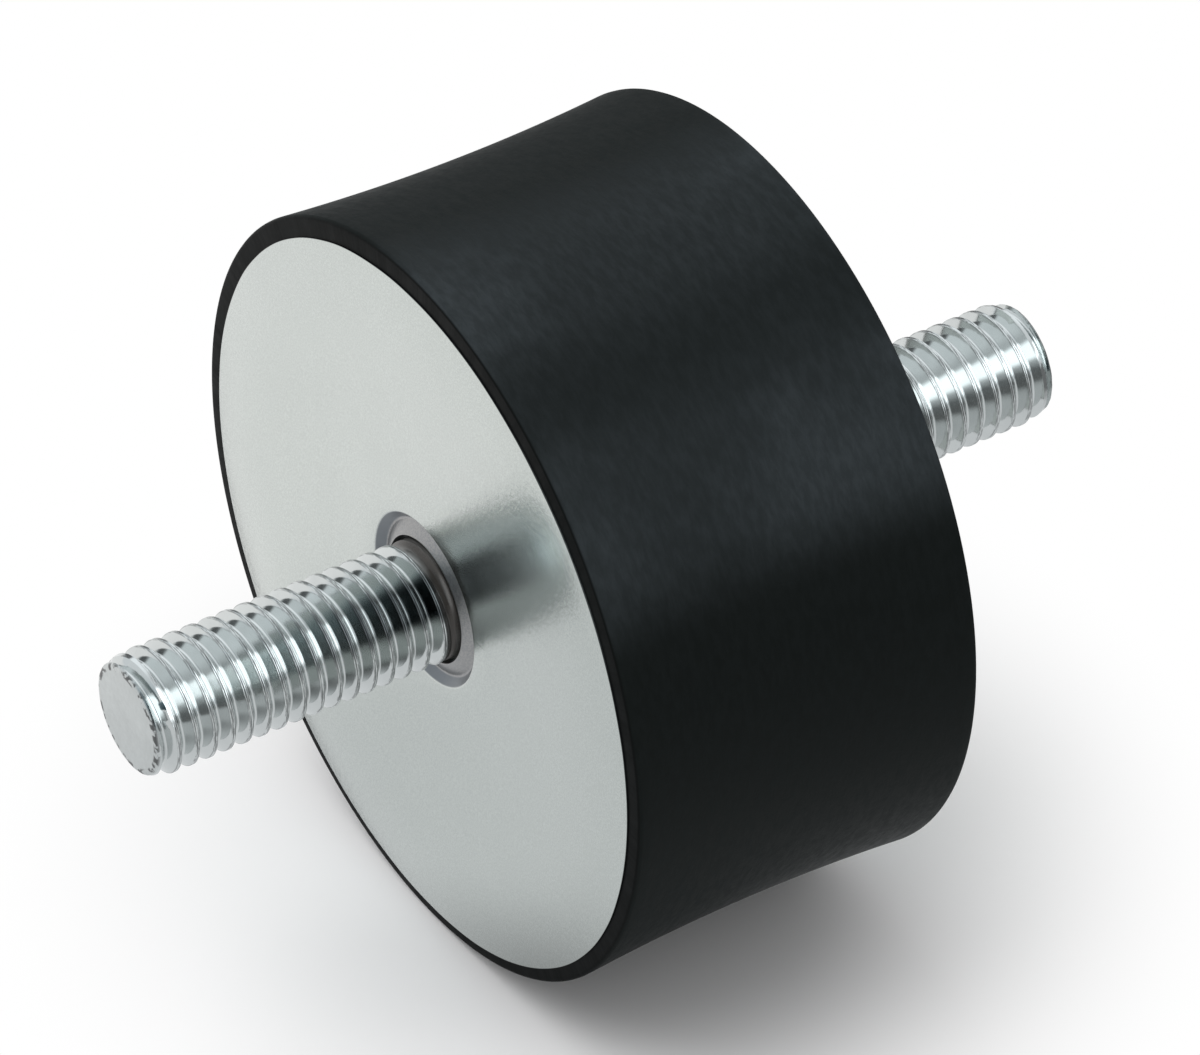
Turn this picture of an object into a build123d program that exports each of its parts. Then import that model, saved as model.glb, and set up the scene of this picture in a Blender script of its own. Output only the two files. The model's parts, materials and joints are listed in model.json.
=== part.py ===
from build123d import *
import os

# Bobbin vibration mount: a slightly waisted rubber cylinder moulded between two steel discs,
# with an M8 stud staked into each disc. Its axis is X, +Z is up, and the origin is the middle
# of the rubber body on that axis. The two ends are mirror images of each other.

# Rubber body
BODY_DIAMETER = 50.0          # over the two rims
BODY_HEIGHT = 24.5            # between the outer faces of the discs
WAIST_DEPTH = 0.5             # how far the side wall draws in, half way between the rims
RIM_CHAMFER = 0.3             # broken outer edge of each rim
LIP_WIDTH = 1.2               # rubber left round the edge of each disc
LIP_SETBACK = 0.1             # how far that lip stays below the disc's outer face

# Steel discs, bonded into the two ends of the rubber
DISC_THICKNESS = 2.5          # at the flat land round the dish
LAND_WIDTH = 4.8              # flat outer ring of the disc, inside which it dips towards the stud
DISH_DEPTH = 0.5
SEAT_DIAMETER = 15.0          # flat middle of the dish
HOLE_CLEARANCE = 0.05         # radial, round the stud's neck
STAKE_LIP = 0.75              # from the edge of the hole out to the staking groove's deepest line
STAKE_FLANK = 0.6             # from there out to the groove's outer edge
STAKE_DEPTH = 0.55

# Studs
STUD_DIAMETER = 7.95          # over the crests of the M8 x 1.25 thread
STUD_LENGTH = 20.45           # beyond the disc's outer face
TIP_CHAMFER_LENGTH = 1.3      # along the stud
TIP_CHAMFER_DEPTH = 0.4       # radial
NECK_STEP = 0.225             # how far the plain neck in the disc stands over the thread, radial
HEAD_DIAMETER = 13.0          # flat head behind the disc, buried in the rubber
HEAD_THICKNESS = 2.2

CUT_MARGIN = 1.0              # how far a cutting solid runs past the face it opens

BODY_RADIUS = BODY_DIAMETER / 2
DISC_RADIUS = BODY_RADIUS - LIP_WIDTH
DISH_RADIUS = DISC_RADIUS - LAND_WIDTH
SEAT_RADIUS = SEAT_DIAMETER / 2
HEAD_RADIUS = HEAD_DIAMETER / 2
STUD_RADIUS = STUD_DIAMETER / 2
NECK_RADIUS = STUD_RADIUS + NECK_STEP
HOLE_RADIUS = NECK_RADIUS + HOLE_CLEARANCE
STAKE_ROOT_RADIUS = HOLE_RADIUS + STAKE_LIP
STAKE_RADIUS = STAKE_ROOT_RADIUS + STAKE_FLANK


def at(depth, radius):
    """A section point at the front end: depth goes inwards from the disc's outer face."""
    return (depth - BODY_HEIGHT / 2, radius)


def turned(section):
    """The solid that a closed half section makes when it turns about the mount's axis."""
    return revolve(make_face(section), axis=Axis.X)


def front_disc():
    """Coined disc: a flat land, a shallow dish and a groove staked round the stud's hole."""
    section = Polyline(
        at(0, DISC_RADIUS),
        at(0, DISH_RADIUS),
        at(DISH_DEPTH, SEAT_RADIUS),
        at(DISH_DEPTH, STAKE_RADIUS),
        at(DISH_DEPTH + STAKE_DEPTH, STAKE_ROOT_RADIUS),
        at(DISH_DEPTH, HOLE_RADIUS),
        at(DISC_THICKNESS, HOLE_RADIUS),
        at(DISC_THICKNESS, DISC_RADIUS),
        close=True,
    )
    return turned(section)


def front_stud():
    """Stud with a chamfered end, a plain neck in the disc's hole and a flat head behind the disc."""
    section = Polyline(
        at(-STUD_LENGTH, 0),
        at(-STUD_LENGTH, STUD_RADIUS - TIP_CHAMFER_DEPTH),
        at(TIP_CHAMFER_LENGTH - STUD_LENGTH, STUD_RADIUS),
        at(DISH_DEPTH, STUD_RADIUS),
        at(DISH_DEPTH, NECK_RADIUS),
        at(DISC_THICKNESS, NECK_RADIUS),
        at(DISC_THICKNESS, HEAD_RADIUS),
        at(DISC_THICKNESS + HEAD_THICKNESS, HEAD_RADIUS),
        at(DISC_THICKNESS + HEAD_THICKNESS, 0),
        close=True,
    )
    return turned(section)


def front_pocket():
    """The space in the rubber's end that the disc fills, open through the end face."""
    section = Polyline(
        at(-CUT_MARGIN, 0),
        at(-CUT_MARGIN, DISC_RADIUS),
        at(DISC_THICKNESS, DISC_RADIUS),
        at(DISC_THICKNESS, 0),
        close=True,
    )
    return turned(section)


def rubber_blank():
    """Waisted cylinder with its rims' edges broken, before the ends are opened for the steel."""
    end = BODY_HEIGHT / 2 - LIP_SETBACK
    shoulder = end - RIM_CHAMFER
    corner = BODY_RADIUS - RIM_CHAMFER
    section = Curve() + [
        Line((-shoulder, BODY_RADIUS), (-end, corner)),
        Polyline((-end, corner), (-end, 0), (end, 0), (end, corner)),
        Line((end, corner), (shoulder, BODY_RADIUS)),
        ThreePointArc((shoulder, BODY_RADIUS), (0, BODY_RADIUS - WAIST_DEPTH), (-shoulder, BODY_RADIUS)),
    ]
    return turned(section)


def rear(front_piece):
    """The same piece at the other end."""
    return mirror(front_piece, about=Plane.YZ)


disc = front_disc()
stud = front_stud()
pocket = front_pocket()
rubber = rubber_blank() - pocket - rear(pocket) - stud - rear(stud)

PARTS = {
    "rubber_body": rubber,
    "front_plate": disc,
    "rear_plate": rear(disc),
    "front_stud": stud,
    "rear_stud": rear(stud),
}

os.makedirs("parts", exist_ok=True)
for name, shape in PARTS.items():
    export_step(shape, f"parts/{name}.step")
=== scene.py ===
"""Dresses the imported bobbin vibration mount: moulded rubber, bright zinc steel discs and M8 studs."""

import json
from math import atan2, cos, hypot, pi, radians, sin, tan, tau

import bmesh
import bpy
from bpy.props import FloatProperty, FloatVectorProperty, PointerProperty
from mathutils import Matrix, Vector, noise


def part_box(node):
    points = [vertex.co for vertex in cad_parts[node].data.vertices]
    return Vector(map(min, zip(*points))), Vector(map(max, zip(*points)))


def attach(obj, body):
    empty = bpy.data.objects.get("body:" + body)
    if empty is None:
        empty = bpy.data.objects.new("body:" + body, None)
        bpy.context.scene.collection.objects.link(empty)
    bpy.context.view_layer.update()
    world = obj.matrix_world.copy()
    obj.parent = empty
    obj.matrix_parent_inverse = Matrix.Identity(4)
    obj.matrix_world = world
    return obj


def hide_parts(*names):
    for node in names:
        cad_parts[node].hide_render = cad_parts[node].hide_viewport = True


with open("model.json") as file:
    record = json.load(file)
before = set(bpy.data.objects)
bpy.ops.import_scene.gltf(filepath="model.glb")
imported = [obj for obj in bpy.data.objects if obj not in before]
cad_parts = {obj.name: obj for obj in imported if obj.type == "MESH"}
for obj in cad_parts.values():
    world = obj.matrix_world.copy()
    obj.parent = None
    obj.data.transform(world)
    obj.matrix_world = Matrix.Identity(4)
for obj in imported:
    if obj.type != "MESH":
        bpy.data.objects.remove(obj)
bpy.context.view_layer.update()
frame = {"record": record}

bl_info = {
    "name": "Bobbin Vibration Mount",
    "version": (1, 0, 0),
    "blender": (4, 5, 0),
    "location": "3D View > Sidebar > Mount",
    "description": "Models and finishes a rubber bobbin mount on its packed frame",
    "category": "Add Mesh",
}

MM = 0.001
TINY = 1e-7             # two places nearer than this, in metres, are the same
BODY_STEPS = 288        # faces round the rubber body and the discs
THREAD_STEPS = 96       # faces round one turn of the thread

# Sizes that come from the frame. The axis is X, and lengths along it start at the middle of the body.
BODY_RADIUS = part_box("rubber_body")[1].z
LIP_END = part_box("rubber_body")[1].x
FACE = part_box("rear_plate")[1].x
PLATE_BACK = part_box("rear_plate")[0].x
PLATE_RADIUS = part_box("rear_plate")[1].z
STUD_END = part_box("rear_stud")[1].x
HEAD_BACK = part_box("rear_stud")[0].x
HEAD_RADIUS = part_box("rear_stud")[1].z
STUD_RADIUS = next(m["dims"]["r_mm"] for m in frame["record"]["mounts"] if m["name"] == "rear_stud") * MM
FLOOR_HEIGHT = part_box("rubber_body")[0].z


# ---------------------------------------------------------------- settings

def length(name, description, default_mm):
    return FloatProperty(name=name, description=description, default=default_mm * MM,
                         unit="LENGTH", precision=5)


def share(name, description, default):
    return FloatProperty(name=name, description=description, default=default,
                         min=0.0, max=1.0, subtype="FACTOR")


def level(name, description, default):
    return FloatProperty(name=name, description=description, default=default, min=0.0)


def colour(name, description, default):
    return FloatVectorProperty(name=name, description=description, default=default, size=3,
                               min=0.0, max=1.0, subtype="COLOR")


class RubberSettings(bpy.types.PropertyGroup):
    waist_depth: length("Waist depth", "How far the side wall draws in half way between the rims", 0.5)
    rim_radius: length("Rim radius", "Rounding of each rim's outer edge", 0.3)
    lip_drop: length("Lip drop", "How far each disc sits below the middle of its pocket", 0.27)
    lip_oval: length("Lip oval", "How much wider the lip is at the sides than at the top and bottom", 0.12)
    lip_waver: length("Lip waver", "Small unevenness of the line where the rubber meets the disc", 0.05)
    black: colour("Rubber", "Colour of the clean rubber", (0.0050, 0.0068, 0.0064))
    # Bloom and sheen: wax bloom mixed with painted softbox sheen, lighter on the upper side towards the
    # camera and dimmed along one line.
    bloom_and_sheen: colour("Bloom", "Colour of the wax bloom on the rubber's skin", (0.034, 0.041, 0.045))
    bloom_and_sheen_start: length("Bloom start", "Height over the axis where the bloom starts", 10.5)
    bloom_and_sheen_full: length("Bloom full", "Height over the axis from which the bloom is full", 15.5)
    dimmed_line: length("Wiped line", "Place in Y of the line where the bloom is wiped thin", -11)
    dimmed_width: length("Wiped width", "From the wiped line to the full bloom on each side", 5)
    roughness: share("Roughness", "Roughness of the moulded skin", 0.45)


class PlateSettings(bpy.types.PropertyGroup):
    land_width: length("Land", "Width of the flat ring inside the disc's edge", 4.8)
    dish_depth: length("Dish depth", "How far the disc dips towards the stud", 0.5)
    seat_radius: length("Seat radius", "Radius of the flat middle of the dish", 7.5)
    groove_radius: length("Groove radius", "Outer edge of the staking groove", 5.75)
    root_radius: length("Root radius", "Deepest line of the staking groove", 5.2)
    groove_depth: length("Groove depth", "Depth of the staking groove below the seat", 0.62)
    mouth_radius: length("Mouth radius", "Radius of the hole at the disc's face", 4.17)
    edge_round: length("Edge rounding", "Rounding of the disc's outer edge", 0.06)
    groove_round: length("Groove rounding", "Rounding of the groove's outer edge", 0.10)
    root_round: length("Root rounding", "Rounding of the groove's deepest line", 0.16)
    mouth_round: length("Mouth rounding", "Rounding of the hole's edge", 0.14)
    zinc: colour("Zinc", "Colour of the satin zinc", (0.63, 0.665, 0.64))
    # Edge: painted shade, near black, on the disc's edge where it meets the rubber lip.
    edge: colour("Edge", "Colour of the dull sheared edge", (0.02, 0.022, 0.022))
    # Groove: painted shade on the staking groove's outer slope.
    groove: colour("Groove", "Colour of the staking groove's outer slope", (0.21, 0.225, 0.24))
    collar: colour("Collar", "Colour of the pressed collar inside the groove", (0.37, 0.365, 0.36))
    roughness: share("Roughness", "Roughness of the satin zinc", 0.17)


class StudSettings(bpy.types.PropertyGroup):
    pitch: length("Pitch", "Distance between two crests of the thread", 1.25)
    thread_depth: length("Thread depth", "From the crest to the root of the thread", 0.74)
    crest_width: length("Crest width", "Width of the thread's flat crest", 0.2)
    chamfer_length: length("Chamfer length", "Length of the chamfer along the stud", 1.3)
    chamfer_depth: length("Chamfer depth", "How far the chamfer draws in at the end", 0.4)
    rim_length: length("Rim length", "Rounding of the end's rim, along the stud", 0.25)
    rim_width: length("Rim width", "Rounding of the end's rim, inwards", 0.36)
    run_out: length("Run-out", "Where the thread starts to fade, in front of the disc", 0.35)
    neck_start: length("Neck start", "Where the thread has faded, behind the disc's face", 0.45)
    neck_radius: length("Neck radius", "Radius of the plain neck", 3.93)
    neck_depth: length("Neck depth", "Where the neck steps out to the shank, behind the disc's face", 1.7)
    shank_radius: length("Shank radius", "Radius of the shank that fills the disc's hole", 4.17)
    phase: length("Phase", "How far the thread is moved along the stud", 0.42)
    zinc: colour("Zinc", "Colour of the bright zinc", (0.68, 0.71, 0.705))
    # Painted reflection: colour and reach of a dark reflection painted beside the disc.
    painted_reflection: colour("Smear", "Colour of the dark smear beside the disc", (0.016, 0.020, 0.023))
    painted_reflection_full: length("Smear full", "From the body's middle to where the smear starts to thin", 13)
    painted_reflection_end: length("Smear end", "From the body's middle to where the smear has gone", 21.5)
    # Film and shade: a dull oil film on the neck, made darker as painted shade in the run-out next to the
    # disc.
    film_and_shade: colour("Film", "Colour of the dull film on the neck", (0.05, 0.045, 0.04))
    shear: colour("Shear marks", "Colour of the ragged marks round the end", (0.03, 0.03, 0.03))
    grain: colour("Grain", "Colour of the fine grain on the end", (0.1, 0.1, 0.1))
    roughness: share("Roughness", "Roughness of the rolled thread", 0.09)


class StageSettings(bpy.types.PropertyGroup):
    azimuth: FloatProperty(name="Azimuth", description="Camera's turn about the mount",
                           default=radians(-32.6), subtype="ANGLE")
    elevation: FloatProperty(name="Elevation", description="Camera's height above the mount",
                             default=radians(39.33), subtype="ANGLE")
    aim: FloatVectorProperty(name="Aim", description="Point that the camera looks at", size=3,
                             default=(0.87 * MM, -0.26 * MM, 0.32 * MM), subtype="TRANSLATION", unit="LENGTH")
    distance: length("Distance", "Camera's distance from the point it looks at", 517.9)
    focal_length: FloatProperty(name="Focal length", description="Camera's focal length in millimetres",
                                default=251.7, min=1.0, subtype="DISTANCE_CAMERA")
    floor: colour("Floor", "Colour of the floor", (0.92, 0.92, 0.925))
    # Near floor: painted shade of the floor as metal mirrors it on the camera's side.
    shaded_near_floor: colour("Near floor", "Colour of the floor on the camera's side, as metal mirrors it",
                       (0.76, 0.775, 0.79))
    fade_start: length("Fade start", "From the shadow's middle to where the floor starts to turn white", 15)
    fade_end: length("Fade end", "From the shadow's middle to where the floor is white", 41)
    key_place: FloatVectorProperty(name="Key light", description="Place of the softbox", size=3,
                                   default=(-0.5, 0.42, 1.1), subtype="TRANSLATION", unit="LENGTH")
    key_size: length("Key size", "Side of the softbox", 1100)
    key_power: FloatProperty(name="Key power", description="Power of the softbox", default=10.0,
                             min=0.0, unit="POWER")
    room_level: level("Room level", "Brightness of the room in polished metal", 0.9)
    softbox_level: level("Softbox level", "Brightness of the front softbox in polished metal", 2.8)
    dull_level: level("Plain level", "Brightness of the even light on dull skins", 0.58)


# ---------------------------------------------------------------- meshes

SHARP_EDGE = radians(35)


def outline(*points):
    """A wire of (x, radius) points in a new mesh, with the vertices in order."""
    mesh = bmesh.new()
    verts = [mesh.verts.new((x, 0.0, radius)) for x, radius in points]
    for pair in zip(verts, verts[1:]):
        mesh.edges.new(pair)
    return mesh, verts


def rounded(mesh, corners, radius, segments=4):
    """Rounds corners of a wire."""
    bmesh.ops.bevel(mesh, geom=corners, affect="VERTICES", offset=radius, offset_type="OFFSET",
                    segments=segments, profile=0.5, material=-1)


def turned(mesh, steps):
    """Turns a wire that starts and ends on the X axis into a closed skin."""
    bmesh.ops.spin(mesh, geom=mesh.verts[:] + mesh.edges[:], cent=(0, 0, 0), axis=(1, 0, 0),
                   angle=tau, steps=steps, use_merge=True)
    closed(mesh)


def closed(mesh):
    """Merges the seams and poles, and turns every face outwards."""
    bmesh.ops.remove_doubles(mesh, verts=mesh.verts[:], dist=0.0005 * MM)
    bmesh.ops.recalc_face_normals(mesh, faces=mesh.faces[:])


def piece(mesh, name, material, node):
    """Makes the mesh a piece of the mount, in place of the CAD node, smooth up to its sharp edges."""
    data = bpy.data.meshes.new(name)
    for face in mesh.faces:
        face.smooth = True
    for edge in mesh.edges:
        edge.smooth = edge.is_manifold and edge.calc_face_angle(0.0) < SHARP_EDGE
    mesh.to_mesh(data)
    mesh.free()
    made = bpy.data.objects.new(name, data)
    bpy.context.scene.collection.objects.link(made)
    data.materials.append(material)
    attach(made, "root")
    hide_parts(node)
    return made


def smoothstep(low, high, value):
    """0 below low, 1 above high, and a smooth step between."""
    t = min(max((value - low) / (high - low), 0.0), 1.0)
    return t * t * (3 - 2 * t)


def lip_shift(co, settings):
    """How far the rubber's inner lip line lies outside its true circle at this side of the disc."""
    angle = atan2(co.z, co.y)
    waver = noise.noise(Vector((2.2 * cos(angle), 2.2 * sin(angle), co.x / FACE)))
    waver += 0.5 * noise.noise(Vector((7 * cos(angle), 7 * sin(angle), 3 + co.x / FACE)))
    return (-settings.lip_drop * sin(angle) - 0.5 * settings.lip_oval * cos(2 * angle)
            + settings.lip_waver * waver)


def shift_lip(verts, settings):
    """Moves the disc's edge, or the wall of its pocket in the rubber, to the uneven lip line."""
    for vert in verts:
        radius = hypot(vert.co.y, vert.co.z)
        scale = 1 + lip_shift(vert.co, settings) / radius
        vert.co.y *= scale
        vert.co.z *= scale


def ring_verts(mesh, low, high):
    """Vertices whose distance from the axis lies between low and high."""
    return [v for v in mesh.verts if low < hypot(v.co.y, v.co.z) < high]


# ---------------------------------------------------------------- shader expressions

class Value:
    """One socket of a node tree. Arithmetic on it adds the Math nodes."""

    def __init__(self, nodes, socket):
        self.nodes, self.socket = nodes, socket

    def other_output(self, name):
        """Another output of the same node."""
        return Value(self.nodes, self.socket.node.outputs[name])

    def math(self, operation, *others):
        return self.nodes.add("ShaderNodeMath", {"operation": operation}, dict(enumerate((self,) + others)))

    def __add__(self, other):
        return self.math("ADD", other)

    def __radd__(self, other):
        return self.math("ADD", other)

    def __sub__(self, other):
        return self.math("SUBTRACT", other)

    def __rsub__(self, other):
        return self.nodes.add("ShaderNodeMath", {"operation": "SUBTRACT"}, {0: other, 1: self})

    def __mul__(self, other):
        return self.math("MULTIPLY", other)

    def __rmul__(self, other):
        return self.math("MULTIPLY", other)

    def __truediv__(self, other):
        return self.math("DIVIDE", other)

    def __rtruediv__(self, other):
        return self.nodes.add("ShaderNodeMath", {"operation": "DIVIDE"}, {0: other, 1: self})


class Nodes:
    """Adds nodes to the tree of one material or world."""

    def __init__(self, owner):
        owner.use_nodes = True
        self.tree = owner.node_tree
        self.tree.nodes.clear()

    def add(self, kind, settings=None, inputs=None, output=0):
        """A node of this kind: its settings first, then the values or links of its sockets."""
        node = self.tree.nodes.new(kind)
        for name, setting in (settings or {}).items():
            setattr(node, name, setting)
        for socket, given in (inputs or {}).items():
            if isinstance(given, Value):
                self.tree.links.new(given.socket, node.inputs[socket])
            else:
                node.inputs[socket].default_value = given
        return Value(self, node.outputs[output] if node.outputs else None)

    def place(self, scale=(1, 1, 1), turn=(0, 0, 0)):
        """The place on the piece, scaled and turned."""
        here = self.add("ShaderNodeTexCoord", output="Object")
        return self.add("ShaderNodeMapping", {"vector_type": "POINT"},
                        {"Vector": here, "Scale": scale, "Rotation": turn})

    def axes(self, place):
        """The three coordinates of a place or direction."""
        x = self.add("ShaderNodeSeparateXYZ", inputs={0: place})
        return x, x.other_output("Y"), x.other_output("Z")

    def unrolled(self, radius, stretch):
        """The place on a skin that runs round the X axis, unrolled flat and drawn out along its turn."""
        x, y, z = self.axes(self.place())
        return self.add("ShaderNodeCombineXYZ", inputs={0: x, 1: y.math("ARCTAN2", z) * (radius / stretch)})

    def noise(self, place, scale, detail=3.0, roughness=0.5):
        return self.add("ShaderNodeTexNoise", inputs={
            "Vector": place, "Scale": scale, "Detail": detail, "Roughness": roughness})

    def band(self, value, low, high):
        """0 below low, 1 above high, and a smooth step between. High may be under low."""
        return self.add("ShaderNodeMapRange", {"interpolation_type": "SMOOTHSTEP"},
                        {"Value": value, "From Min": low, "From Max": high, "To Min": 0.0, "To Max": 1.0})

    def cap(self, way, centre, low, high):
        """1 within high degrees of a direction, 0 beyond low degrees."""
        dot = self.add("ShaderNodeVectorMath", {"operation": "DOT_PRODUCT"},
                       {0: way, 1: Vector(centre).normalized()}, output="Value")
        return self.band(dot, cos(radians(low)), cos(radians(high)))

    def mix(self, factor, first, second):
        """From the first colour at 0 to the second at 1."""
        return self.add("ShaderNodeMix", {"data_type": "RGBA"},
                        {0: factor, 6: rgba(first), 7: rgba(second)}, output=2)

    def distance(self, first, second):
        """Length of the line whose two sides are first and second."""
        return (first * first + second * second).math("SQRT")

    def bump(self, height, distance, strength):
        return self.add("ShaderNodeBump", inputs={
            "Height": height, "Distance": distance, "Strength": strength})

    def surface(self, shader):
        self.add("ShaderNodeOutputMaterial", inputs={"Surface": shader})


def rgba(given):
    return given if isinstance(given, Value) else (*given, 1.0)


def darker(tone, share_left):
    return [share_left * channel for channel in tone]


# ---------------------------------------------------------------- rubber

def rubber_material(settings):
    """Black skin, finely scuffed round the body, with patches of wax bloom and painted softbox sheen on its
    upper side towards the camera, the painted sheen dimmed along one line."""
    material = bpy.data.materials.new("moulded_rubber")
    nodes = Nodes(material)
    skin = nodes.place()
    along, across, up = nodes.axes(skin)
    lip = nodes.band(along.math("ABSOLUTE"), LIP_END - 0.12 * MM, LIP_END - 0.02 * MM)
    # Painted sheen: the bloom patches also stand in for the softbox's reflection, so they lie only on the
    # upper side towards the camera.
    patches = 0.5 + 0.5 * nodes.band(nodes.noise(skin, 60, detail=5, roughness=0.6), 0.40, 0.66)
    patches = patches * nodes.band(up, settings.bloom_and_sheen_start, settings.bloom_and_sheen_full)
    patches = patches * nodes.band(across, 6 * MM, -1 * MM)
    # Painted sheen, dimmed along one line of the upper side.
    dimmed = nodes.band((across - settings.dimmed_line).math("ABSOLUTE"), settings.dimmed_width, 0.5 * MM)
    patches = patches * (1 - 0.55 * dimmed)
    scuffs = nodes.noise(nodes.unrolled(BODY_RADIUS, 3), 1900, detail=6, roughness=0.65)
    scuffs = nodes.band(scuffs, 0.34, 0.70)
    fine = nodes.noise(skin, 2500)
    bloom_and_sheen = patches * (0.65 + 0.35 * scuffs) + 0.06 * scuffs
    roughness = settings.roughness + 0.10 * fine + 0.10 * scuffs - 0.05 * patches
    relief = nodes.bump(fine * 0.7 + scuffs, 0.015 * MM, 0.5)
    tone = nodes.mix(lip, nodes.mix(bloom_and_sheen, settings.black, settings.bloom_and_sheen), darker(settings.black, 0.35))
    nodes.surface(nodes.add("ShaderNodeBsdfPrincipled", inputs={
        "Base Color": tone, "Roughness": roughness, "Specular IOR Level": 0.05, "Normal": relief}))
    return material


def rubber_body(settings):
    """Waisted moulding with round rims, a lip round each disc, and the pockets that hold the steel."""
    def wall(x):
        return BODY_RADIUS - settings.waist_depth * (1 - (x / LIP_END) ** 2)

    stations = [LIP_END * (i / 12 - 1) for i in range(1, 24)]
    mesh, verts = outline(
        (-HEAD_BACK, 0), (-HEAD_BACK, HEAD_RADIUS), (-PLATE_BACK, HEAD_RADIUS), (-PLATE_BACK, PLATE_RADIUS),
        (-LIP_END, PLATE_RADIUS), (-LIP_END, BODY_RADIUS), *((x, wall(x)) for x in stations),
        (LIP_END, BODY_RADIUS), (LIP_END, PLATE_RADIUS),
        (PLATE_BACK, PLATE_RADIUS), (PLATE_BACK, HEAD_RADIUS), (HEAD_BACK, HEAD_RADIUS), (HEAD_BACK, 0))
    rims = [v for v in verts if abs(abs(v.co.x) - LIP_END) < TINY and v.co.z > BODY_RADIUS - TINY]
    rounded(mesh, rims, settings.rim_radius)
    turned(mesh, BODY_STEPS)
    reach = 0.1 * MM
    shift_lip(ring_verts(mesh, PLATE_RADIUS - reach, PLATE_RADIUS + reach), settings)
    return mesh


# ---------------------------------------------------------------- discs

def plate_material(settings):
    """Satin zinc with fine grain, duller in the staked groove, with painted shade on the groove's outer slope
    and on the sheared edge against the rubber.
    """
    material = bpy.data.materials.new("satin_zinc")
    nodes = Nodes(material)
    face = nodes.place()
    along, across, up = nodes.axes(face)
    radius = nodes.distance(across, up)
    # Staked groove: duller zinc, its dark tone painted shade in the recess, with a lighter speckled collar
    # inside.
    staked_and_shaded = nodes.band(radius, settings.groove_radius + 0.04 * MM, settings.groove_radius - 0.06 * MM)
    collar = nodes.band(radius, settings.root_radius + 0.10 * MM, settings.root_radius)
    clouds = nodes.noise(face, 160, detail=4)
    grain = nodes.noise(face, 2600, detail=2, roughness=0.6)
    speckle = nodes.noise(face, 9000, detail=2)
    ripple = nodes.noise(face, 800, detail=2)
    scratches = nodes.noise(nodes.place(scale=(1, 0.05, 1), turn=(0.6, 0, 0)), 2400, detail=2)
    scratches = nodes.band(scratches, 0.6, 0.75)
    mottle = 0.5 * clouds + nodes.band(speckle, 0.35, 0.65)
    tone = nodes.mix(mottle, settings.zinc, darker(settings.zinc, 0.88))
    pressed = collar * (0.55 + 0.45 * nodes.band(speckle, 0.4, 0.6))
    tone = nodes.mix(staked_and_shaded, tone, nodes.mix(pressed, settings.groove, settings.collar))
    # Painted shade on the disc's rounded edge where it goes into the rubber's pocket.
    edge = nodes.band(along.math("ABSOLUTE"), FACE - 0.002 * MM, FACE - 0.02 * MM)
    edge = edge * nodes.band(radius, PLATE_RADIUS - 0.9 * MM, PLATE_RADIUS - 0.7 * MM)
    tone = nodes.mix(edge, tone, settings.edge)
    roughness = settings.roughness + 0.06 * clouds + 0.08 * grain + 0.10 * staked_and_shaded
    relief = nodes.bump(grain + 0.6 * ripple - 0.4 * scratches, 0.014 * MM, 0.7)
    nodes.surface(nodes.add("ShaderNodeBsdfPrincipled", inputs={
        "Base Color": tone, "Metallic": 1.0, "Roughness": roughness, "Normal": relief}))
    return material


def dish_point(settings, share_in):
    """A point of the dish's soft slope, from the land at 0 to the seat at 1."""
    land = PLATE_RADIUS - settings.land_width
    radius = land + (settings.seat_radius - land) * share_in
    return (-FACE + settings.dish_depth * smoothstep(land, settings.seat_radius, radius), radius)


def front_disc(settings, lip):
    """Disc with a flat land, a shallow dish, a staking groove and the hole for the stud's neck."""
    seat = -FACE + settings.dish_depth
    mesh, verts = outline(
        (-PLATE_BACK, HEAD_RADIUS), (-PLATE_BACK, PLATE_RADIUS), (-FACE, PLATE_RADIUS),
        *(dish_point(settings, i / 16) for i in range(17)),
        (seat, settings.groove_radius), (seat + settings.groove_depth, settings.root_radius),
        (seat, settings.mouth_radius), (-PLATE_BACK, settings.mouth_radius), (-PLATE_BACK, HEAD_RADIUS))
    edge, groove, root, mouth = verts[2], verts[-5], verts[-4], verts[-3]
    rounded(mesh, [edge], settings.edge_round, segments=2)
    rounded(mesh, [groove], settings.groove_round, segments=3)
    rounded(mesh, [root], settings.root_round)
    rounded(mesh, [mouth], settings.mouth_round)
    turned(mesh, BODY_STEPS)
    shift_lip(ring_verts(mesh, PLATE_RADIUS - 0.2 * MM, PLATE_RADIUS + 0.1 * MM), lip)
    return mesh


# ---------------------------------------------------------------- studs

FLANK_ANGLE = radians(30)        # of the thread, from square to the axis


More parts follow.
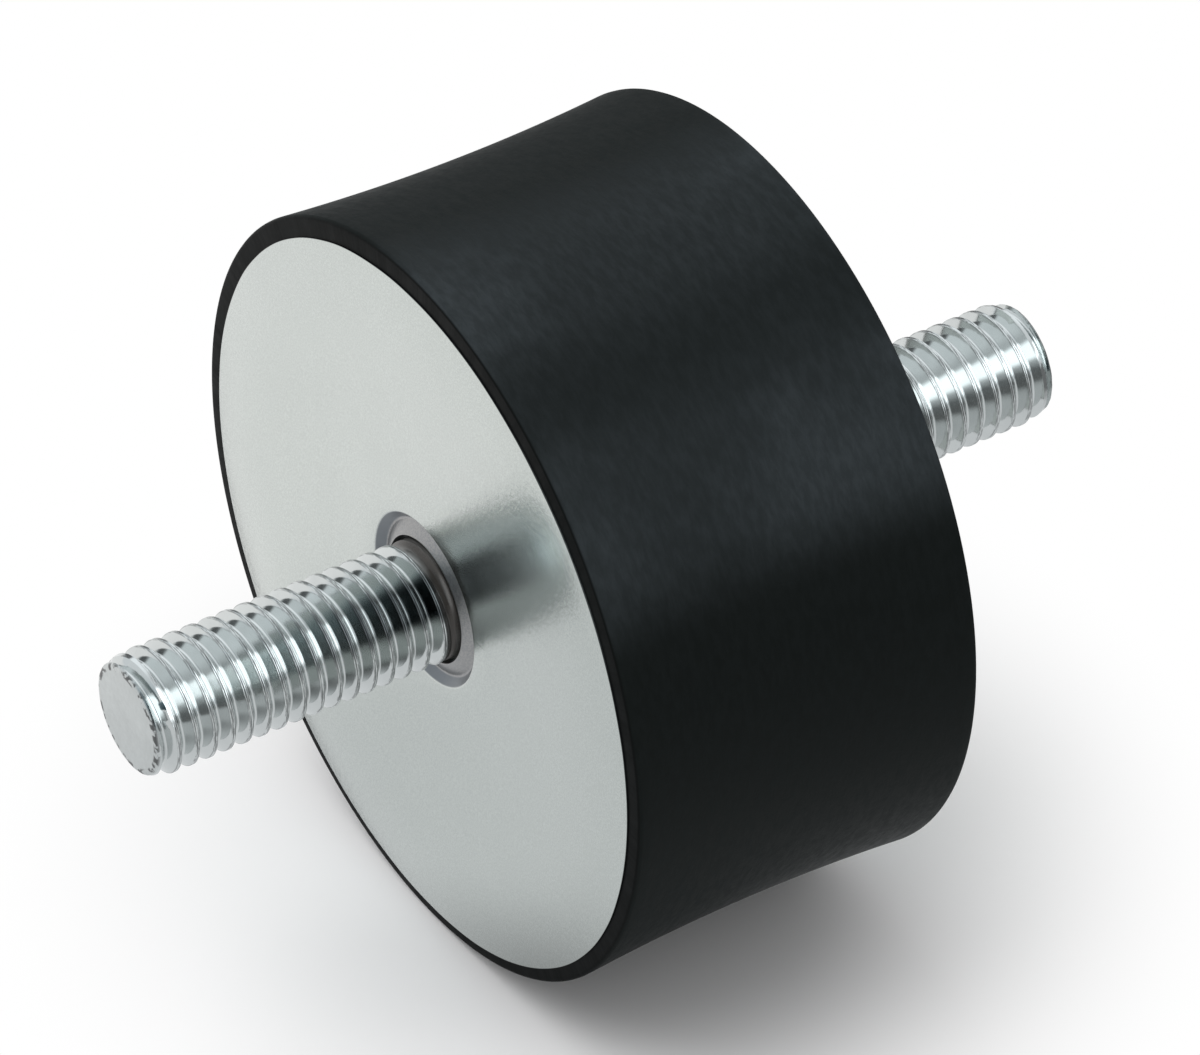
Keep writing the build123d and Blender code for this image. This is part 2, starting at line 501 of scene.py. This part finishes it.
def stud_material(settings):
    """Bright zinc, torn along the crests, with a dull film and painted shade on the neck, and a painted dark
    reflection beside the disc, between the top and the side that faces the camera."""
    material = bpy.data.materials.new("bright_zinc")
    nodes = Nodes(material)
    here = nodes.place()
    along, across, up = nodes.axes(here)
    along = along.math("ABSOLUTE")
    radius = nodes.distance(across, up)
    clouds = nodes.noise(here, 500, detail=4)
    torn = nodes.noise(nodes.unrolled(STUD_RADIUS, 14), 14000, roughness=0.6)
    crest = nodes.band(radius, STUD_RADIUS - 0.10 * MM, STUD_RADIUS - 0.02 * MM)
    neck = nodes.band(along, FACE + 0.5 * MM, FACE - 0.2 * MM)
    neck = neck * nodes.band(radius, STUD_RADIUS - 0.01 * MM, STUD_RADIUS - 0.06 * MM)
    end = nodes.band(along, STUD_END - settings.rim_length, STUD_END - 0.03 * MM)
    face_radius = STUD_RADIUS - settings.chamfer_depth - settings.rim_width
    rim = end * nodes.band(radius, face_radius - 0.10 * MM, face_radius + 0.05 * MM)
    # Painted reflection: a dark patch beside the disc, between the top and the side that faces the camera,
    # reaching further along the crests.
    facing = nodes.band((0.69 * up - 0.72 * across) / radius, cos(radians(31)), cos(radians(12)))
    painted_reflection = nodes.band(along - 5 * MM * crest, settings.painted_reflection_end, settings.painted_reflection_full) * facing
    painted_reflection = painted_reflection * (0.75 + 0.35 * nodes.noise(nodes.unrolled(STUD_RADIUS, 5), 2500))
    shear = rim * nodes.band(nodes.noise(here, 1800), 0.48, 0.56)
    worn = 0.30 * clouds + 0.7 * crest * nodes.band(torn, 0.56, 0.46)
    tone = nodes.mix(worn, settings.zinc, darker(settings.zinc, 0.40))
    tone = nodes.mix(0.93 * painted_reflection, tone, settings.painted_reflection)
    # Neck: dull film, darkened as painted shade in the run-out beside the disc.
    tone = nodes.mix(neck, tone, settings.film_and_shade)
    tone = nodes.mix(0.85 * shear, tone, settings.shear)
    tone = nodes.mix(0.22 * end * nodes.noise(here, 3500), tone, settings.grain)
    roughness = settings.roughness + 0.06 * clouds + 0.15 * crest * torn + 0.15 * neck + 0.25 * end
    relief = nodes.bump(clouds * 0.6 + torn * (0.1 + 0.5 * crest), 0.008 * MM, 0.6)
    nodes.surface(nodes.add("ShaderNodeBsdfPrincipled", inputs={
        "Base Color": tone, "Metallic": 1 - 0.75 * neck, "Roughness": roughness, "Normal": relief}))
    return material


def thread_outline(settings):
    """One pitch of the rolled thread, from root to root: a flat crest with a seam, straight flanks
    and small radii."""
    half, crest, deep = settings.pitch / 2, settings.crest_width / 2, settings.thread_depth
    lean = tan(FLANK_ANGLE)
    flank = [crest + 0.03 * MM + lean * d for d in (0.0, 0.03 * MM, deep - 0.11 * MM, deep - 0.08 * MM)]
    right = [(0, 0.025 * MM), (0.4 * crest, 0), (crest, 0), (crest + 0.015 * MM, 0.008 * MM),
             (flank[0], 0.03 * MM), (flank[1], 0.06 * MM), (flank[2], deep - 0.08 * MM),
             (flank[3], deep - 0.05 * MM), (half - 0.05 * MM, deep - 0.015 * MM), (half, deep)]
    return [(x, STUD_RADIUS - d) for x, d in [(-x, d) for x, d in reversed(right[1:])] + right]


def stud(settings):
    """Front stud: a right-hand helix of the thread's outline, a rough chamfered end, a neck
    and a buried head."""
    bottom = -FACE + settings.neck_depth
    start = -STUD_END - 1.5 * settings.pitch + settings.phase
    mesh, _ = outline(*((start + x, radius) for x, radius in thread_outline(settings)))
    bmesh.ops.spin(mesh, geom=mesh.verts[:] + mesh.edges[:], cent=(0, 0, 0), axis=(1, 0, 0),
                   dvec=(settings.pitch / THREAD_STEPS, 0, 0), angle=tau, steps=THREAD_STEPS)
    one_turn = mesh.faces[:]
    for turn in range(1, int((bottom - start) / settings.pitch) + 3):
        copied = bmesh.ops.duplicate(mesh, geom=one_turn)["geom"]
        bmesh.ops.translate(mesh, verts=[g for g in copied if isinstance(g, bmesh.types.BMVert)],
                            vec=(turn * settings.pitch, 0, 0))
    closed(mesh)
    shape_thread(mesh, settings)
    trim(mesh, -STUD_END + settings.rim_length, -1)
    trim(mesh, bottom, 1)
    close_tip(mesh, settings)
    add_head(mesh, bottom, settings.shank_radius)
    closed(mesh)
    return mesh


def roughness_at(place, size):
    """Unevenness of a turned or sheared edge, from -1 to 1."""
    return noise.noise(place / size) + 0.5 * noise.noise(place / (0.4 * size))


def shape_thread(mesh, settings):
    """Turns the end down to a rough chamfer and lets the thread run out into the plain neck."""
    for vert in mesh.verts:
        x, radius = vert.co.x, hypot(vert.co.y, vert.co.z)
        inset = settings.chamfer_depth * (1 - (x + STUD_END) / settings.chamfer_length)
        limit = STUD_RADIUS - max(inset, 0)
        if inset > 0:
            limit += 0.025 * MM * roughness_at(vert.co, 0.4 * MM)
        run_out = smoothstep(-FACE - settings.run_out, -FACE + settings.neck_start, x)
        wanted = min(radius, limit)
        wanted += (settings.neck_radius - wanted) * run_out
        vert.co.y *= wanted / radius
        vert.co.z *= wanted / radius


def trim(mesh, x, side):
    """Cuts away what lies beyond x on that side."""
    bmesh.ops.bisect_plane(mesh, geom=mesh.verts[:] + mesh.edges[:] + mesh.faces[:], dist=0.1 * TINY,
                           plane_co=(x, 0, 0), plane_no=(side, 0, 0), clear_outer=True)


def open_edges(mesh, x):
    """The open ring of edges at x."""
    return [e for e in mesh.edges if e.is_boundary and all(abs(v.co.x - x) < TINY for v in e.verts)]


def step_loop(mesh, edges, x, radius):
    """Carries an open ring of edges on to a new place and radius."""
    grown = bmesh.ops.extrude_edge_only(mesh, edges=edges)["geom"]
    for vert in (g for g in grown if isinstance(g, bmesh.types.BMVert)):
        scale = radius / hypot(vert.co.y, vert.co.z)
        vert.co = (x, vert.co.y * scale, vert.co.z * scale)
    return [g for g in grown if isinstance(g, bmesh.types.BMEdge)]


def close_tip(mesh, settings):
    """Rounds the rim of the stud's end, a little unevenly, and closes the flat end."""
    ring = open_edges(mesh, -STUD_END + settings.rim_length)
    shoulder = STUD_RADIUS - settings.chamfer_depth * (1 - settings.rim_length / settings.chamfer_length)
    steps = 6
    for step in range(1, steps + 1):
        angle = step / steps * pi / 2
        ring = step_loop(mesh, ring, -STUD_END + settings.rim_length * (1 - sin(angle)),
                         shoulder - settings.rim_width * (1 - cos(angle)))
        if step < steps - 1:
            for vert in {v for edge in ring for v in edge.verts}:
                scale = 1 + 0.03 * MM * roughness_at(vert.co, 0.35 * MM) / STUD_RADIUS
                vert.co.y *= scale
                vert.co.z *= scale
    ring = step_loop(mesh, ring, -STUD_END, shoulder - settings.rim_width - 0.03 * MM)
    bmesh.ops.contextual_create(mesh, geom=ring)


def add_head(mesh, bottom, shank_radius):
    """Steps the neck out to the shank in the disc's hole, and closes the stud with its flat head."""
    ring = open_edges(mesh, bottom)
    for x, radius in ((bottom, shank_radius), (-PLATE_BACK, shank_radius), (-PLATE_BACK, HEAD_RADIUS),
                      (-HEAD_BACK, HEAD_RADIUS)):
        ring = step_loop(mesh, ring, x, radius)
    bmesh.ops.contextual_create(mesh, geom=ring)


def at_rear(mesh):
    """A copy of a front piece swung round to the rear end, where a right-hand thread stays right-handed."""
    rear = mesh.copy()
    bmesh.ops.rotate(rear, verts=rear.verts[:], cent=(0, 0, 0), matrix=Matrix.Rotation(pi, 3, "Z"))
    return rear


# ---------------------------------------------------------------- stage

WHITE, BLACK = (1, 1, 1), (0, 0, 0)


def add_camera(settings):
    """Camera that looks at its aim point from the set angle and distance."""
    back = Vector((sin(settings.azimuth) * cos(settings.elevation),
                   -cos(settings.azimuth) * cos(settings.elevation), sin(settings.elevation)))
    data = bpy.data.cameras.new("camera")
    data.lens, data.sensor_width, data.clip_end = settings.focal_length, 36, 100
    camera = bpy.data.objects.new("camera", data)
    camera.location = Vector(settings.aim) + back * settings.distance
    camera.rotation_euler = back.to_track_quat("Z", "Y").to_euler()
    bpy.context.scene.collection.objects.link(camera)
    bpy.context.scene.camera = camera


def add_softbox(settings):
    """A square softbox aimed at the mount. Metal mirrors the world's soft light instead of it."""
    data = bpy.data.lights.new("key", "AREA")
    data.shape, data.size, data.energy = "SQUARE", settings.key_size, settings.key_power
    light = bpy.data.objects.new("key", data)
    light.location = settings.key_place
    light.rotation_euler = Vector(settings.key_place).to_track_quat("Z", "Y").to_euler()
    light.visible_glossy = False
    bpy.context.scene.collection.objects.link(light)


def floor_material(settings):
    """Pale floor that keeps the shadow near the mount and fades to white away from it. Metal mirrors it with
    painted
    shade instead of the cast shadow: a little greyer on the camera's side, and dimmer close by and far to the
    right."""
    material = bpy.data.materials.new("studio_floor")
    nodes = Nodes(material)
    x, y, _ = nodes.axes(nodes.place())
    mirrored = nodes.add("ShaderNodeLightPath", output="Is Glossy Ray")
    far = nodes.band(nodes.distance(x - 1 * MM, y + 1 * MM), settings.fade_start, settings.fade_end)
    paper = nodes.add("ShaderNodeBsdfPrincipled", inputs={
        "Base Color": rgba(settings.floor), "Roughness": 0.8, "Specular IOR Level": 0.2})
    # Painted shade in what metal mirrors: greyer on the camera's side, dimmer near the mount's front and far
    # to the right.
    tone = nodes.mix(nodes.band(y, 36 * MM, 16 * MM), WHITE, settings.shaded_near_floor)
    lit = 0.35 + 0.65 * nodes.band(nodes.distance(x + 6 * MM, y + 16 * MM), 4 * MM, 22 * MM)
    lit = lit * (1 - 0.75 * nodes.band(x, 42 * MM, 75 * MM))
    white = nodes.add("ShaderNodeEmission", inputs={
        "Color": nodes.mix(mirrored, WHITE, nodes.mix(lit, BLACK, tone))})
    nodes.surface(nodes.add("ShaderNodeMixShader", inputs={
        0: far.math("MAXIMUM", mirrored), 1: paper, 2: white}))
    return material


def add_floor(settings):
    """A wide round floor under the body."""
    mesh = bmesh.new()
    bmesh.ops.create_circle(mesh, cap_ends=True, segments=96, radius=4.0,
                            matrix=Matrix.Translation((0, 0, FLOOR_HEIGHT)))
    data = bpy.data.meshes.new("floor")
    mesh.to_mesh(data)
    mesh.free()
    data.materials.append(floor_material(settings))
    floor = bpy.data.objects.new("floor", data)
    bpy.context.scene.collection.objects.link(floor)


def add_world(settings):
    """Pale studio: white to the eye and even light for dull skins. Polished metal shows a room with a
    bright softbox on the camera's side, a dim left side, a lighter back wall with a dark gap, and a
    dark low corner."""
    world = bpy.data.worlds.new("studio")
    bpy.context.scene.world = world
    nodes = Nodes(world)
    camera_ray = nodes.add("ShaderNodeLightPath", output="Is Camera Ray")
    seen = camera_ray.math("MAXIMUM", camera_ray.other_output("Is Transmission Ray"))
    glossy = camera_ray.other_output("Is Glossy Ray")
    way = nodes.add("ShaderNodeTexCoord", output="Generated")
    x, y, z = nodes.axes(way)
    dim = nodes.band(x, -0.36, -0.62) * nodes.band(y, 0.5, -0.5)
    softbox = nodes.band(y, -0.22, -0.38) * nodes.band(z, 0.12, 0.34)
    back = nodes.cap(way, (0.34, 0.65, 0.68), 50, 25)
    low = nodes.cap(way, (0.56, -0.83, 0.03), 30, 18)
    gap = nodes.cap(way, (0.02, 1.0, 0.2), 17, 8)
    room = (settings.room_level + 0.35 * back) * (1 - softbox) * (1 - 0.85 * gap)
    room = (room + settings.softbox_level * softbox) * (1 - 0.99 * dim) * (1 - 0.75 * low)
    strength = seen + (1 - seen) * (glossy * room + (1 - glossy) * settings.dull_level)
    cool, cold = (0.93, 0.97, 1.0), (0.6, 0.9, 1.05)
    tint = nodes.mix(glossy * (1 - seen), WHITE, nodes.mix(dim, cool, cold))
    nodes.add("ShaderNodeOutputWorld", inputs={
        "Surface": nodes.add("ShaderNodeBackground", inputs={"Color": tint, "Strength": strength})})


# ---------------------------------------------------------------- operators

class MOUNT_OT_rubber_body(bpy.types.Operator):
    """Make the waisted rubber body"""
    bl_idname = "mount.rubber_body"
    bl_label = "Rubber Body"

    def execute(self, context):
        settings = context.scene.mount_rubber
        piece(rubber_body(settings), "moulded_body", rubber_material(settings), "rubber_body")
        return {"FINISHED"}


class MOUNT_OT_plates(bpy.types.Operator):
    """Make the two dished steel discs"""
    bl_idname = "mount.plates"
    bl_label = "Discs"

    def execute(self, context):
        settings = context.scene.mount_plate
        zinc = plate_material(settings)
        front = front_disc(settings, context.scene.mount_rubber)
        rear = at_rear(front)
        piece(front, "front_disc", zinc, "front_plate")
        piece(rear, "rear_disc", zinc, "rear_plate")
        return {"FINISHED"}


class MOUNT_OT_studs(bpy.types.Operator):
    """Make the two threaded studs"""
    bl_idname = "mount.studs"
    bl_label = "Studs"

    def execute(self, context):
        settings = context.scene.mount_stud
        zinc = stud_material(settings)
        front = stud(settings)
        rear = at_rear(front)
        piece(front, "front_threaded_stud", zinc, "front_stud")
        piece(rear, "rear_threaded_stud", zinc, "rear_stud")
        return {"FINISHED"}


class MOUNT_OT_stage(bpy.types.Operator):
    """Set the floor, the lights and the camera"""
    bl_idname = "mount.stage"
    bl_label = "Stage"

    def execute(self, context):
        settings = context.scene.mount_stage
        add_camera(settings)
        add_floor(settings)
        add_world(settings)
        add_softbox(settings)
        context.scene.view_settings.view_transform = "Standard"
        return {"FINISHED"}


class MOUNT_PT_panel(bpy.types.Panel):
    """Pieces and settings of the mount"""
    bl_idname = "MOUNT_PT_panel"
    bl_label = "Bobbin Mount"
    bl_space_type = "VIEW_3D"
    bl_region_type = "UI"
    bl_category = "Mount"

    def draw(self, context):
        for operator, group in STEPS:
            box = self.layout.box()
            box.operator(operator.bl_idname)
            settings = getattr(context.scene, group)
            for name in settings.bl_rna.properties.keys():
                if name not in {"rna_type", "name"}:
                    box.prop(settings, name)


GROUPS = {"mount_rubber": RubberSettings, "mount_plate": PlateSettings,
          "mount_stud": StudSettings, "mount_stage": StageSettings}
STEPS = ((MOUNT_OT_rubber_body, "mount_rubber"), (MOUNT_OT_plates, "mount_plate"),
         (MOUNT_OT_studs, "mount_stud"), (MOUNT_OT_stage, "mount_stage"))


def register():
    for name, group in GROUPS.items():
        bpy.utils.register_class(group)
        setattr(bpy.types.Scene, name, PointerProperty(type=group))
    for operator, _ in STEPS:
        bpy.utils.register_class(operator)
    bpy.utils.register_class(MOUNT_PT_panel)


def unregister():
    bpy.utils.unregister_class(MOUNT_PT_panel)
    for operator, _ in reversed(STEPS):
        bpy.utils.unregister_class(operator)
    for name, group in GROUPS.items():
        delattr(bpy.types.Scene, name)
        bpy.utils.unregister_class(group)


def main():
    register()
    bpy.ops.mount.rubber_body()
    bpy.ops.mount.plates()
    bpy.ops.mount.studs()
    bpy.ops.mount.stage()


if __name__ == "__main__":
    main()
